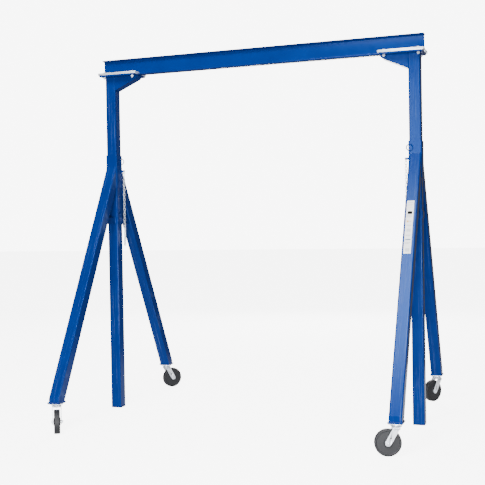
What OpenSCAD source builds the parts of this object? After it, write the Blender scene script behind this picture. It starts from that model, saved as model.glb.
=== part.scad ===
// Portable gantry crane, height-adjustable: a rolled beam on two square columns,
// each telescoping in a two-legged frame that rolls on swivel casters.
// Frame: origin on the floor midway between the columns, +X along the beam,
// +Y to the rear, +Z up. All sizes in millimetres.

/* [Beam] */
// Length of the beam
beam_length = 3048; // [2440:1:4600]
// Height of the beam section
beam_height = 152.4; // [120:0.1:210]
// Width of the beam's flanges
flange_width = 84.6; // [70:0.1:110]
// Thickness of a flange at its tip
flange_tip = 5.8; // [4:0.1:10]
// Thickness of a flange where it meets the web
flange_root = 12.4; // [8:0.1:18]
// Thickness of the web
web = 5.9; // [4:0.1:10]

/* [Columns] */
// Distance from the beam's end to the column's centre line
end_setback = 83; // [70:1:300]
// Length of a column
column_length = 3157; // [2600:1:3900]
// Outside size of the square column tube
column_size = 101.6; // [84:0.1:122]
// Wall of the column tube
column_wall = 6.4; // [4:0.1:9]
// Gap between the floor and the columns at the lowest setting
floor_gap = 3; // [1:1:30]
// Spacing of the height-setting holes
hole_pitch = 152.4; // [120:0.1:190]
// Number of steps that the columns can be raised
steps = 8; // [4:1:9]

/* [Beam seat] */
// Length of the seat plate under the beam
seat_length = 366; // [320:1:440]
// Width of the seat plate
seat_width = 240; // [220:1:300]
// Thickness of the seat plate
seat_thick = 12.7; // [8:0.1:20]
// Distance from the beam's end to the seat plate's end
seat_setback = 4; // [0:1:12]
// Length of a clamp bar
clamp_length = 390; // [370:1:460]
// Thickness of a clamp bar over the flange
clamp_thick = 12.7; // [8:0.1:20]
// How far a clamp bar reaches over the flange
clamp_lap = 20; // [12:1:30]
// Spacing of the clamp bolts along the beam
clamp_pitch = 292; // [250:1:330]
// Distance of the clamp bolts from the beam's centre plane
clamp_bolt_y = 80; // [66:1:100]
// Diameter of the clamp bolts
clamp_bolt = 15.9; // [12:0.1:20]
// Depth of the gusset where it meets the column
gusset_depth = 125; // [90:1:170]
// Length of the gusset under the seat plate
gusset_length = 240; // [160:1:262]
// Thickness of the gusset's plate
gusset_plate = 6.4; // [4:0.1:10]

/* [Side frames] */
// Length of the sleeve that the column slides in
sleeve_length = 313; // [250:1:380]
// Height of the sleeve's top above the floor
sleeve_top = 2419; // [2240:1:2760]
// Wall of the sleeve
sleeve_wall = 5.55; // [3:0.05:7]
// Clearance between the column and the sleeve, each side
slide_gap = 0.8; // [0.5:0.1:3]
// Outside size of the square leg tube
leg_size = 101.6; // [80:0.1:122]
// Wall of the leg tube
leg_wall = 4.8; // [3:0.1:7]
// Distance from the sleeve's top down to the legs' heads
leg_drop = 108; // [60:1:150]
// Distance of a foot's centre from the column's centre line
foot_y = 1110; // [900:1:1340]
// Height of the vertical toe at a leg's foot
toe_height = 44; // [30:1:60]
// Side of the square foot plate
foot_size = 114.3; // [110:0.1:150]
// Thickness of the foot plate
foot_plate = 9.5; // [6:0.1:14]
// Height of the guide collar's centre above the floor
collar_z = 1793; // [1500:1:1900]
// Height of the guide collar and of the tie bars
collar_height = 61; // [45:1:80]
// Width of a tie bar
tie_width = 63.5; // [50:0.5:90]
// Distance from the sleeve's top down to the hitch pin hole
pin_drop = 247; // [200:1:290]
// Diameter of the hitch pin
pin_dia = 20.6; // [16:0.1:26]
// Radial clearance of the hitch pin in its holes
pin_clear = 0.8; // [0.4:0.1:2]

/* [Chain] */
// Diameter of the chain wire
wire = 5; // [4:0.1:6]
// Inside length of a link
link_pitch = 24; // [20:0.1:28.8]
// Number of links, an even number
links = 22; // [16:2:24]
// Distance from the sleeve's top down to the chain's upper pivot
chain_drop = 157; // [130:1:170]
// Length of the hitch pin's shank
shank = 160; // [120:1:200]

/* [Casters] */
// Wheel diameter
wheel_dia = 203.2; // [152:0.1:250]
// Tread width of the wheel
wheel_width = 50.8; // [40:0.1:56]
// Height of the caster's top face above the wheel's top
caster_head = 44.8; // [42:0.1:70]
// Distance of the wheel's axle behind the swivel axis
trail = 63.5; // [50:0.5:76]
// Size of the caster's top plate along the beam
plate_x = 101.6; // [96:0.1:120]
// Size of the caster's top plate across the beam
plate_y = 114.3; // [100:0.1:120]
// Spacing of the plate bolts along the beam
bolt_x = 74; // [72:1:76]
// Spacing of the plate bolts across the beam
bolt_y = 50; // [46:1:52]
// Diameter of the plate bolts
plate_bolt = 9.5; // [8:0.1:11]
// Diameter of the axle bolt
axle_dia = 12.7; // [10:0.1:16]
// Heading of each caster's trail, degrees from +X: left front, left rear, right front, right rear
headings = [-58, 50, -164, -125];

/* [Hidden] */
$fn = 48;
LEFT = -1;
RIGHT = 1;
FRONT = -1;
REAR = 1;
eps = 1;                 // overshoot of a cut past the face it opens
blue = "royalblue";
zinc = "gainsboro";
black = "dimgray";

// Heights and places that follow from the sizes above
column_x = beam_length / 2 - end_setback;
caster_height = wheel_dia + caster_head;
leg_head = sleeve_top - leg_drop;
pin_hole_z = sleeve_top - pin_drop;
chain_z = sleeve_top - chain_drop;
seat_z = floor_gap + column_length;
flange_z = seat_z + seat_thick;
seat_x = beam_length / 2 - seat_setback - seat_length / 2;
clamp_heel = (flange_tip + flange_root) / 2;
clamp_hex = 24;          // size across flats of the clamp bolts' heads and nuts
clamp_head = 10;
clamp_nut = 14;
clamp_tail = 20;         // length of a clamp bolt below the seat plate
gusset_lip = 6;          // height of the gusset's outer end
gusset_nose = [28, 31];  // length and depth of the gusset's rounded-off nose
clamp_outer = seat_width / 2 - 2;
slope = (flange_root - flange_tip) / ((flange_width - web) / 2);
sleeve_size = column_size + 2 * (slide_gap + sleeve_wall);
tube_corner = 9.5;       // outside corner radius of the square tubes
foot_z = caster_height + foot_plate;
toe_y = foot_y + 40;
leg_angle = atan((toe_y - sleeve_size / 2) / (leg_head - foot_z - toe_height));
leg_across = leg_size / cos(leg_angle);
hole_r = pin_dia / 2 + pin_clear;
bolt_clear = 0.8;        // radial clearance of a bolt in a plate
thread_clear = 0.05;     // radial clearance of a bolt in its nut
chain_out = 22;          // distance of the chain from the sleeve's inner face
chain_y = 45;
tab_reach = 10;          // how far a chain tab runs past its hole
tab_end = sleeve_size / 2 + chain_out + tab_reach;
tab_below = 3;           // how far a chain tab runs below the pivot
tab_clear = 1.2;         // radial clearance of the link in the tab's hole
bend_r = 9;              // centre-line radius of a link's ends
link_slack = 0.3;        // play between two links
link_straight = link_pitch - 2 * bend_r + wire;
link_step = link_pitch - link_slack;
eye_r = 12;              // centre-line radius of the hitch pin's eye
eye_wire = 6;
pin_collar = 6;          // thickness of the collar under the hitch pin's eye
pin_nose = 6;            // length of the hitch pin's rounded nose
pin_neck = 8;            // from the eye's foot to the collar's foot
tab_thick = 5;
tab_height = 20;
ring_r = 26.5;           // centre-line radius of the lifting ring
ring_wire = 9;
ring_z = sleeve_top - 57;
ring_x = -45;
decal_width = 59;
decal_length = 428 / cos(leg_angle);
decal_thick = 0.6;
decal_top = leg_head - 406;
decal_x = -5;
wheel_r = wheel_dia / 2;
plate_thick = 6.5;
plate_corner = 8;
plate_hex = 14;          // size across flats of the plate bolts' heads and nuts
plate_head = 6;
plate_nut = 8;
plate_tail = 12;         // length of a plate bolt below the top plate
crown_thick = 8;
cheek = 6;               // thickness of a fork leg
cheek_in = wheel_width / 2 + 7.6;
cheek_outer = cheek_in + cheek;
cheek_back = 26;         // crown plate's reach behind the swivel axis
cheek_front = 28;        // and ahead of it, over the wheel
cheek_end = 22.5;        // radius of a fork leg's end
crown_r = 41;
spare_hole = [20, 40];   // extra axle-lock hole, from the axle
spare_hole_r = 6;
ball_r = 4.75;
balls = 18;
race_r = 29;
race_foot = 6;           // how far the upper race reaches past the balls' circle
groove_gap = 0.1;
ball_z = caster_height - 20;
race_gap = 4;            // gap between the two races
kingpin_r = 8;
kingpin_head = 5.7;
kingpin_lip = 4;
kingpin_gap = 0.05;
crown_top = ball_z - race_gap / 2;
crown_bottom = crown_top - 13;
kingpin_foot = crown_bottom - 6;
axle_hex = 19;           // size across flats of the axle's head and nut
axle_head = 8;
axle_nut = 11;
axle_tail = 2;
bushing_r = 11;
bushing_play = 0.3;      // end play of the bushing between the fork legs
hub_r = 31;
hub_proud = 4;           // how far the hub stands out of the wheel's face
rim_depth = 13.6;        // thickness of the tread ring
face_dish = 3;           // how far the wheel's face lies below its rim
running = 0.05;          // radial clearance of the running fits

module rounded(w, h, r) {
    square([w - 2 * r, h], center = true);
    square([w, h - 2 * r], center = true);
    for (x = [-1, 1], y = [-1, 1]) translate([x * (w / 2 - r), y * (h / 2 - r)]) circle(r);
}

module tube_section(size, wall) {
    difference() {
        rounded(size, size, tube_corner);
        rounded(size - 2 * wall, size - 2 * wall, max(tube_corner - wall, 1));
    }
}

module hexagon(across, height) cylinder(d = across / cos(30), h = height, $fn = 6);

module ring(r, thick) rotate_extrude() translate([r, 0]) circle(thick / 2);

module cross_hole(z, length) translate([0, 0, z]) rotate([0, 90, 0])
    cylinder(r = hole_r, h = length, center = true);

// A piece of one side frame; the left frame is the right one turned half round.
module at_frame(side) rotate([0, 0, side == LEFT ? 180 : 0]) translate([column_x, 0, 0]) children();

// A piece of one beam seat, mirrored from the right end to the left.
module at_seat(side) mirror([side == LEFT ? 1 : 0, 0, 0]) children();

// Half of the section's right edge is listed, from the bottom up, and mirrored twice.
module beam_section() {
    fillet = 6;
    edge = [
        [flange_width / 2, 0], [flange_width / 2, flange_tip],
        [web / 2 + fillet, flange_root - fillet * slope], [web / 2, flange_root + fillet]
    ];
    right = concat(edge, [for (i = [3 : -1 : 0]) [edge[i][0], beam_height - edge[i][1]]]);
    polygon(concat(right, [for (i = [7 : -1 : 0]) [-right[i][0], right[i][1]]]));
}

module beam() {
    color(blue) translate([-beam_length / 2, 0, flange_z])
        rotate([90, 0, 90]) linear_extrude(beam_length) beam_section();
}

module column(side) {
    color(blue) at_frame(side) difference() {
        translate([0, 0, floor_gap]) linear_extrude(column_length) tube_section(column_size, column_wall);
        for (k = [0 : steps]) cross_hole(pin_hole_z - k * hole_pitch, column_size + 2 * eps);
    }
}

module clamp_bolt_places() {
    for (x = [-1, 1], y = [-1, 1]) translate([seat_x + x * clamp_pitch / 2, y * clamp_bolt_y, 0]) children();
}

module seat_plate(side) {
    color(blue) at_seat(side) difference() {
        translate([seat_x - seat_length / 2, -seat_width / 2, seat_z])
            cube([seat_length, seat_width, seat_thick]);
        clamp_bolt_places() translate([0, 0, seat_z - eps])
            cylinder(r = clamp_bolt / 2 + bolt_clear, h = seat_thick + 2 * eps);
    }
}

module gusset_side(inset) {
    far = -gusset_length;
    polygon([
        [0, 0], [far + inset, 0], [far + inset, -gusset_lip],
        [far + gusset_nose[0] + inset, -gusset_nose[1] + inset], [0, -gusset_depth + inset * 1.1]
    ]);
}

module gusset(side) {
    color(blue) at_seat(side) translate([column_x - column_size / 2, 0, seat_z]) rotate([90, 0, 0])
        difference() {
            linear_extrude(column_size, center = true) gusset_side(0);
            linear_extrude(column_size - 2 * gusset_plate, center = true) gusset_side(gusset_plate);
        }
}

// A clamp bar's heel stands on the seat plate and its toe lies on the flange's sloping top.
module clamp_section() {
    toe = flange_width / 2 - clamp_lap;
    tip = flange_width / 2;
    top = clamp_heel + clamp_thick;
    polygon([
        [clamp_outer, 0], [clamp_outer, top], [toe, top], [toe, flange_tip + clamp_lap * slope],
        [tip + 1, flange_tip - slope], [tip + 1, 0]
    ]);
}

module clamp_bar(side, row) {
    color(zinc) at_seat(side) difference() {
        mirror([0, row == FRONT ? 1 : 0, 0]) translate([seat_x - clamp_length / 2, 0, flange_z])
            rotate([90, 0, 90]) linear_extrude(clamp_length) clamp_section();
        clamp_bolt_places() translate([0, 0, flange_z - eps])
            cylinder(r = clamp_bolt / 2 + bolt_clear, h = clamp_heel + clamp_thick + 2 * eps);
    }
}

module clamp_bolts() {
    color(zinc) for (side = [LEFT, RIGHT]) at_seat(side) clamp_bolt_places() {
        translate([0, 0, flange_z + clamp_heel + clamp_thick]) hexagon(clamp_hex, clamp_head);
        translate([0, 0, seat_z - clamp_tail])
            cylinder(d = clamp_bolt, h = clamp_tail + seat_thick + clamp_heel + clamp_thick);
    }
}

module clamp_nuts() {
    color(zinc) for (side = [LEFT, RIGHT]) at_seat(side) clamp_bolt_places()
        translate([0, 0, seat_z - clamp_nut]) difference() {
            hexagon(clamp_hex, clamp_nut);
            translate([0, 0, -eps]) cylinder(r = clamp_bolt / 2 + thread_clear, h = clamp_nut + 2 * eps);
        }
}

module sleeve(side) {
    color(blue) at_frame(side) {
        difference() {
            translate([0, 0, sleeve_top - sleeve_length]) linear_extrude(sleeve_length)
                tube_section(sleeve_size, sleeve_wall);
            cross_hole(pin_hole_z, sleeve_size + 2 * eps);
        }
        difference() {
            translate([-tab_end, -chain_y - tab_thick / 2, chain_z - tab_below])
                cube([chain_out + tab_reach + eps / 2, tab_thick, tab_height]);
            translate([-sleeve_size / 2 - chain_out, -chain_y, chain_z + bend_r]) rotate([90, 0, 0])
                cylinder(r = wire / 2 + tab_clear, h = tab_thick + 2 * eps, center = true);
        }
    }
}

// The slanted prism of a leg, from its outer face inwards, before its ends are cut.
module leg_prism(size, inset) {
    over = 2 * leg_size;
    long = leg_head / cos(leg_angle) + over;
    translate([0, sleeve_size / 2, leg_head]) rotate([leg_angle, 0, 0])
        translate([0, -leg_size / 2, over - long]) linear_extrude(long)
            rounded(size, size, max(tube_corner - inset, 1));
}

module leg(side, row) {
    height = leg_head - foot_z;
    color(blue) translate([side * column_x, 0, 0]) mirror([0, row == FRONT ? 1 : 0, 0]) difference() {
        intersection() {
            leg_prism(leg_size, 0);
            translate([-leg_size, sleeve_size / 2, foot_z])
                cube([2 * leg_size, toe_y - sleeve_size / 2, height]);
        }
        intersection() {
            leg_prism(leg_size - 2 * leg_wall, leg_wall);
            translate([-leg_size, 0, 0]) cube([2 * leg_size, toe_y - leg_wall, leg_head + leg_size]);
        }
    }
}

module guide_collar(side) {
    color(blue) at_frame(side) translate([0, 0, collar_z - collar_height / 2])
        linear_extrude(collar_height) tube_section(sleeve_size, sleeve_wall);
}

// Tie bars run from the collar to the inner faces of the two legs, cut to their slope.
module tie_bars(side) {
    reach = sleeve_size / 2 + (leg_head - collar_z) * tan(leg_angle) - leg_across;
    rise = collar_height / 2 * tan(leg_angle);
    color(blue) at_frame(side) for (row = [FRONT, REAR]) mirror([0, row == FRONT ? 1 : 0, 0])
        translate([-tie_width / 2, 0, collar_z]) rotate([90, 0, 90]) linear_extrude(tie_width) polygon([
            [sleeve_size / 2, -collar_height / 2], [reach + rise, -collar_height / 2],
            [reach - rise, collar_height / 2], [sleeve_size / 2, collar_height / 2]
        ]);
}

module at_feet(side) {
    for (row = [FRONT, REAR]) translate([side * column_x, row * foot_y, 0]) children();
}

module plate_bolt_places() {
    for (x = [-1, 1], y = [-1, 1]) translate([x * bolt_x / 2, y * bolt_y / 2, 0]) children();
}

module foot_plates(side) {
    color(blue) at_feet(side) difference() {
        translate([-foot_size / 2, -foot_size / 2, caster_height]) cube([foot_size, foot_size, foot_plate]);
        plate_bolt_places() translate([0, 0, caster_height - eps])
            cylinder(r = plate_bolt / 2 + bolt_clear, h = foot_plate + 2 * eps);
    }
}

module caster_bolts(side) {
    color(zinc) at_feet(side) plate_bolt_places() {
        translate([0, 0, foot_z]) hexagon(plate_hex, plate_head);
        translate([0, 0, caster_height - plate_thick - plate_tail])
            cylinder(d = plate_bolt, h = foot_plate + plate_thick + plate_tail + eps / 2);
    }
}

module caster_nuts(side) {
    color(zinc) at_feet(side) plate_bolt_places()
        translate([0, 0, caster_height - plate_thick - plate_nut]) difference() {
            hexagon(plate_hex, plate_nut);
            translate([0, 0, -eps]) cylinder(r = plate_bolt / 2 + thread_clear, h = plate_nut + 2 * eps);
        }
}

module lifting_ring(side) {
    color(blue) at_frame(side) translate([ring_x, -sleeve_size / 2 - ring_wire / 2, ring_z])
        rotate([90, 0, 0]) ring(ring_r, ring_wire);
}

module link() {
    for (end = [-1, 1]) translate([0, 0, end * link_straight / 2]) rotate([90, 0, 90]) intersection() {
        ring(bend_r, wire);
        translate([-2 * bend_r, end > 0 ? 0 : -2 * bend_r, -wire]) cube([4 * bend_r, 2 * bend_r, 2 * wire]);
    }
    for (y = [-1, 1]) translate([0, y * bend_r, -link_straight / 2]) cylinder(d = wire, h = link_straight);
}

module at_chain(side) at_frame(side) translate([-sleeve_size / 2 - chain_out, -chain_y, chain_z]) children();

module chain(side) {
    color(zinc) at_chain(side) for (i = [0 : links - 1])
        translate([0, 0, -link_straight / 2 - i * link_step]) rotate([0, 0, (i % 2) * 90]) link();
}

// The pin hangs by its eye from the last link; its shank has a rounded nose.
module hitch_pin(side) {
    last_bend = link_straight + (links - 1) * link_step + bend_r;
    eye_drop = last_bend + eye_r - eye_wire / 2 - wire / 2 - link_slack;
    color(zinc) at_chain(side) translate([0, 0, -eye_drop]) {
        rotate([0, 90, 0]) ring(eye_r, eye_wire);
        translate([0, 0, -eye_r - pin_neck]) cylinder(d = pin_dia + 4, h = pin_collar);
        translate([0, 0, -eye_r - pin_neck - shank]) cylinder(d = pin_dia, h = shank);
        translate([0, 0, -eye_r - pin_neck - shank - pin_nose])
            cylinder(d1 = pin_dia - 8, d2 = pin_dia, h = pin_nose);
    }
}

module decal() {
    color("white") translate([column_x, 0, 0]) mirror([0, 1, 0]) translate([0, sleeve_size / 2, leg_head])
        rotate([leg_angle, 0, 0])
        translate([decal_x - decal_width / 2, 0, -(leg_head - decal_top) / cos(leg_angle) - decal_length])
        cube([decal_width, decal_thick, decal_length]);
}

module at_foot(side, row) translate([side * column_x, row * foot_y, 0]) children();

// Everything below the top plate turns with the caster's heading.
module at_swivel(side, row) {
    index = (side == RIGHT ? 2 : 0) + (row == REAR ? 1 : 0);
    at_foot(side, row) rotate([0, 0, headings[index]]) children();
}

module race_groove() translate([0, 0, ball_z]) ring(race_r, 2 * (ball_r + groove_gap));

module caster_plate(side, row) {
    color(zinc) at_foot(side, row) difference() {
        union() {
            translate([0, 0, caster_height - plate_thick]) linear_extrude(plate_thick)
                rounded(plate_x, plate_y, plate_corner);
            translate([0, 0, ball_z + race_gap / 2])
                cylinder(r1 = race_r + race_foot, r2 = race_r + race_foot - 2,
                    h = caster_height - plate_thick - ball_z - race_gap / 2);
            translate([0, 0, kingpin_foot])
                cylinder(r = kingpin_r, h = caster_height - plate_thick - kingpin_foot + eps);
            translate([0, 0, kingpin_foot]) cylinder(r = kingpin_r + kingpin_lip, h = kingpin_head);
        }
        race_groove();
        plate_bolt_places() translate([0, 0, caster_height - plate_thick - eps])
            cylinder(r = plate_bolt / 2 + bolt_clear, h = plate_thick + 2 * eps);
    }
}

module swivel_balls(side, row) {
    color(zinc) at_swivel(side, row) for (i = [0 : balls - 1])
        rotate([0, 0, i * 360 / balls]) translate([race_r, 0, ball_z]) sphere(ball_r);
}

module cheek_outline() {
    lean = atan2(crown_bottom - wheel_r, trail);
    translate([trail, wheel_r]) circle(cheek_end);
    polygon([
        [-cheek_back, crown_bottom + eps], [cheek_front, crown_bottom + eps],
        [trail + cheek_end * sin(lean), wheel_r + cheek_end * cos(lean)],
        [trail - cheek_end * sin(lean), wheel_r - cheek_end * cos(lean)]
    ]);
}

module fork(side, row) {
    color(zinc) at_swivel(side, row) difference() {
        union() {
            translate([0, 0, crown_bottom]) cylinder(r = crown_r, h = crown_top - crown_bottom);
            translate([-cheek_back, -cheek_outer, crown_bottom])
                cube([cheek_back + cheek_front, 2 * cheek_outer, crown_thick]);
            for (y = [-1, 1]) translate([0, y * (cheek_in + cheek / 2), 0]) rotate([90, 0, 0])
                linear_extrude(cheek, center = true) cheek_outline();
        }
        race_groove();
        translate([0, 0, crown_bottom - eps])
            cylinder(r = kingpin_r + kingpin_gap, h = crown_top - crown_bottom + 2 * eps);
        translate([trail, 0, wheel_r]) rotate([90, 0, 0])
            cylinder(r = axle_dia / 2 + running, h = 2 * cheek_outer + 2 * eps, center = true);
        translate([trail - spare_hole[0], 0, wheel_r + spare_hole[1]]) rotate([90, 0, 0])
            cylinder(r = spare_hole_r, h = 2 * cheek_outer + 2 * eps, center = true);
    }
}

module at_axle(side, row) at_swivel(side, row) translate([trail, 0, wheel_r]) rotate([90, 0, 0]) children();

module axle(side, row) {
    nut_end = -cheek_outer - axle_nut;
    color(zinc) at_axle(side, row) {
        translate([0, 0, nut_end - axle_tail])
            cylinder(d = axle_dia, h = cheek_outer - nut_end + axle_tail + eps);
        translate([0, 0, cheek_outer]) hexagon(axle_hex, axle_head);
        difference() {
            translate([0, 0, nut_end]) hexagon(axle_hex, axle_nut);
            translate([0, 0, nut_end - eps])
                cylinder(r = axle_dia / 2 + thread_clear, h = axle_nut + 2 * eps);
        }
    }
}

module bushing(side, row) {
    length = 2 * (cheek_in - bushing_play);
    color(zinc) at_axle(side, row) difference() {
        cylinder(r = bushing_r, h = length, center = true);
        cylinder(r = axle_dia / 2 + running, h = length + 2 * eps, center = true);
    }
}

module wheel(side, row) {
    half = wheel_width / 2;
    rim_r = wheel_r - rim_depth;
    // Half of the section, from the bore out to the tread; the other half mirrors it
    edge = [
        [bushing_r + running, half + hub_proud], [hub_r, half + hub_proud], [hub_r + 3, half - 1],
        [rim_r - 4, half - face_dish], [rim_r, half], [wheel_r - 6, half], [wheel_r, half - 7]
    ];
    color(black) at_axle(side, row) rotate_extrude($fn = 96)
        polygon(concat(edge, [for (i = [len(edge) - 1 : -1 : 0]) [edge[i][0], -edge[i][1]]]));
}

beam();
column(LEFT);  // column_left
column(RIGHT);  // column_right
seat_plate(LEFT);  // seat_plate_left
seat_plate(RIGHT);  // seat_plate_right
gusset(LEFT);  // gusset_left
gusset(RIGHT);  // gusset_right
clamp_bar(LEFT, FRONT);  // clamp_bar_left_front
clamp_bar(LEFT, REAR);  // clamp_bar_left_rear
clamp_bar(RIGHT, FRONT);  // clamp_bar_right_front
clamp_bar(RIGHT, REAR);  // clamp_bar_right_rear
clamp_bolts();
clamp_nuts();
sleeve(LEFT);  // sleeve_left
sleeve(RIGHT);  // sleeve_right
leg(LEFT, FRONT);  // leg_left_front
leg(LEFT, REAR);  // leg_left_rear
leg(RIGHT, FRONT);  // leg_right_front
leg(RIGHT, REAR);  // leg_right_rear
guide_collar(LEFT);  // guide_collar_left
guide_collar(RIGHT);  // guide_collar_right
tie_bars(LEFT);  // tie_bars_left
tie_bars(RIGHT);  // tie_bars_right
foot_plates(LEFT);  // foot_plates_left
foot_plates(RIGHT);  // foot_plates_right
lifting_ring(LEFT);  // lifting_ring_left
lifting_ring(RIGHT);  // lifting_ring_right
chain(LEFT);  // chain_left
chain(RIGHT);  // chain_right
hitch_pin(LEFT);  // hitch_pin_left
hitch_pin(RIGHT);  // hitch_pin_right
decal();
caster_bolts(LEFT);  // caster_bolts_left
caster_bolts(RIGHT);  // caster_bolts_right
caster_nuts(LEFT);  // caster_nuts_left
caster_nuts(RIGHT);  // caster_nuts_right
caster_plate(LEFT, FRONT);  // caster_plate_left_front
caster_plate(LEFT, REAR);  // caster_plate_left_rear
caster_plate(RIGHT, FRONT);  // caster_plate_right_front
caster_plate(RIGHT, REAR);  // caster_plate_right_rear
swivel_balls(LEFT, FRONT);  // swivel_balls_left_front
swivel_balls(LEFT, REAR);  // swivel_balls_left_rear
swivel_balls(RIGHT, FRONT);  // swivel_balls_right_front
swivel_balls(RIGHT, REAR);  // swivel_balls_right_rear
fork(LEFT, FRONT);  // fork_left_front
fork(LEFT, REAR);  // fork_left_rear
fork(RIGHT, FRONT);  // fork_right_front
fork(RIGHT, REAR);  // fork_right_rear
axle(LEFT, FRONT);  // axle_left_front
axle(LEFT, REAR);  // axle_left_rear
axle(RIGHT, FRONT);  // axle_right_front
axle(RIGHT, REAR);  // axle_right_rear
bushing(LEFT, FRONT);  // bushing_left_front
bushing(LEFT, REAR);  // bushing_left_rear
bushing(RIGHT, FRONT);  // bushing_right_front
bushing(RIGHT, REAR);  // bushing_right_rear
wheel(LEFT, FRONT);  // wheel_left_front
wheel(LEFT, REAR);  // wheel_left_rear
wheel(RIGHT, FRONT);  // wheel_right_front
wheel(RIGHT, REAR);  // wheel_right_rear
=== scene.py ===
"""Looks of a portable gantry crane: a blue rolled beam on two telescoping columns,
carried by two-legged frames on swivel casters. All places are in metres, in the frame
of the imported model: origin on the floor, +X along the beam, +Y to the rear, +Z up."""
import math

import bpy
import bmesh
from mathutils import Matrix, Vector


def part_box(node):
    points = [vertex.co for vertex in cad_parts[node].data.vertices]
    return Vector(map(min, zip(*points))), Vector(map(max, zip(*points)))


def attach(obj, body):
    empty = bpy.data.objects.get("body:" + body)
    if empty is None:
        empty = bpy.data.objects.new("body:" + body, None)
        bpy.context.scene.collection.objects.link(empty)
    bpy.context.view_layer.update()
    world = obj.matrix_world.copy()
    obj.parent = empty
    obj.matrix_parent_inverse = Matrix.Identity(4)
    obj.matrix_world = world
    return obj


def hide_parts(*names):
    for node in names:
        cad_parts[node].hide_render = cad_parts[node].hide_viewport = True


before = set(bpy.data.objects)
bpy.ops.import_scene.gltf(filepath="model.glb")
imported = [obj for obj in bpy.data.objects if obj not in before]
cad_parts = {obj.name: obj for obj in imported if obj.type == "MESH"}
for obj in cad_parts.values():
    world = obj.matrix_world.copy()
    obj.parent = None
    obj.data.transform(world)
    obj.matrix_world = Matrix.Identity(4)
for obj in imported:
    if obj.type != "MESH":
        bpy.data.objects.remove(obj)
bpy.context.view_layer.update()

# ---------------------------------------------------------------- camera
# Stands a little right of the front, at about half the crane's height, and looks
# nearly level across the whole crane.
EYE = Vector((2.6272, -7.6676, 1.6990))
YAW, PITCH, ROLL = 0.346721, -0.015642, -0.016583

look = Vector((-math.sin(YAW) * math.cos(PITCH), math.cos(YAW) * math.cos(PITCH), math.sin(PITCH)))
level_right = Vector((math.cos(YAW), math.sin(YAW), 0))
level_up = level_right.cross(look)
right = math.cos(ROLL) * level_right + math.sin(ROLL) * level_up
up = math.cos(ROLL) * level_up - math.sin(ROLL) * level_right
lens = bpy.data.cameras.new("camera")
lens.sensor_width, lens.lens = 36.0, 66.31
camera = bpy.data.objects.new("camera", lens)
camera.matrix_world = Matrix.Translation(EYE) @ Matrix((right, up, -look)).transposed().to_4x4()
bpy.context.scene.collection.objects.link(camera)
bpy.context.scene.camera = camera

# ---------------------------------------------------------------- light
# A white studio: an even pale surround, a large soft light high in front that puts a sheen
# on the sloping legs, a panel in front for the upright faces, a low one for the casters,
# a fill behind, and a wide one underneath for the light that a pale floor sends up.
SURROUND, MIRRORED, BACKDROP = 0.14, 0.16, 8.0     # on matt faces, in metal, and behind the crane

world = bpy.data.worlds.new("studio")
bpy.context.scene.world = world
world.use_nodes = True
sky = world.node_tree.nodes["Background"]
sky.inputs["Color"].default_value = (1, 1, 1, 1)
path = world.node_tree.nodes.new("ShaderNodeLightPath")
strength = None
for ray, seen in (("Is Glossy Ray", MIRRORED), ("Is Camera Ray", BACKDROP)):
    level = world.node_tree.nodes.new("ShaderNodeMapRange")
    level.inputs["To Min"].default_value = SURROUND
    level.inputs["To Max"].default_value = seen
    world.node_tree.links.new(path.outputs[ray], level.inputs["Value"])
    if strength:
        world.node_tree.links.new(strength, level.inputs["To Min"])
    strength = level.outputs["Result"]
world.node_tree.links.new(strength, sky.inputs["Strength"])


def soft_light(name, place, aim, size, power):
    """A square area light, aimed at a point; sizes in metres, power in watts."""
    lamp = bpy.data.lights.new(name, "AREA")
    lamp.shape, lamp.size, lamp.energy = "SQUARE", size, power
    obj = bpy.data.objects.new(name, lamp)
    obj.visible_camera = False
    turn = (Vector(aim) - Vector(place)).to_track_quat("-Z", "Y")
    obj.matrix_world = Matrix.Translation(place) @ turn.to_matrix().to_4x4()
    bpy.context.scene.collection.objects.link(obj)


soft_light("key", (0.2, -5.6, 7.8), (0, 0, 1.4), 3.0, 900)
soft_light("front_panel", (-0.2, -9.9, 3.3), (1.3, 0, 2.5), 2.2, 330)
soft_light("low_panel", (2.6, -9.2, 0.9), (0.9, 0, 0.5), 1.7, 1100)
soft_light("back_fill", (-2.0, 9.0, 4.5), (0, 0, 1.5), 3.5, 650)
soft_light("floor_bounce", (0, -0.6, 0.01), (0, -0.6, 5), 7.0, 140)

# ---------------------------------------------------------------- floor
# A plain pale studio floor that glows as brightly as the backdrop. Its glow is hidden from
# the crane, so that it doesn't flood the undersides.


def linear(code):
    """An sRGB hex colour as the linear RGBA that a shader takes."""
    steps = [int(code[i:i + 2], 16) / 255 for i in (1, 3, 5)]
    return (*[s / 12.92 if s <= 0.04045 else ((s + 0.055) / 1.055) ** 2.4 for s in steps], 1)


def material(name):
    """A new node material and its Principled shader."""
    made = bpy.data.materials.new(name)
    made.use_nodes = True
    return made, made.node_tree.nodes["Principled BSDF"]


def node(made, kind, links=(), **values):
    """Adds a node. Values set its properties and sockets. A link joins a source to one of its
    sockets, or, where the first of the pair is its own output, feeds another node's socket."""
    added = made.node_tree.nodes.new("ShaderNode" + kind)
    for key, value in values.items():
        if hasattr(added, key):
            setattr(added, key, value)
        else:
            added.inputs[key.replace("_", " ")].default_value = value
    for source, target in links:
        start = added.outputs[source] if isinstance(source, (str, int)) else source
        end = added.inputs[target] if isinstance(target, (str, int)) else target
        made.node_tree.links.new(start, end)
    return added


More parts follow.
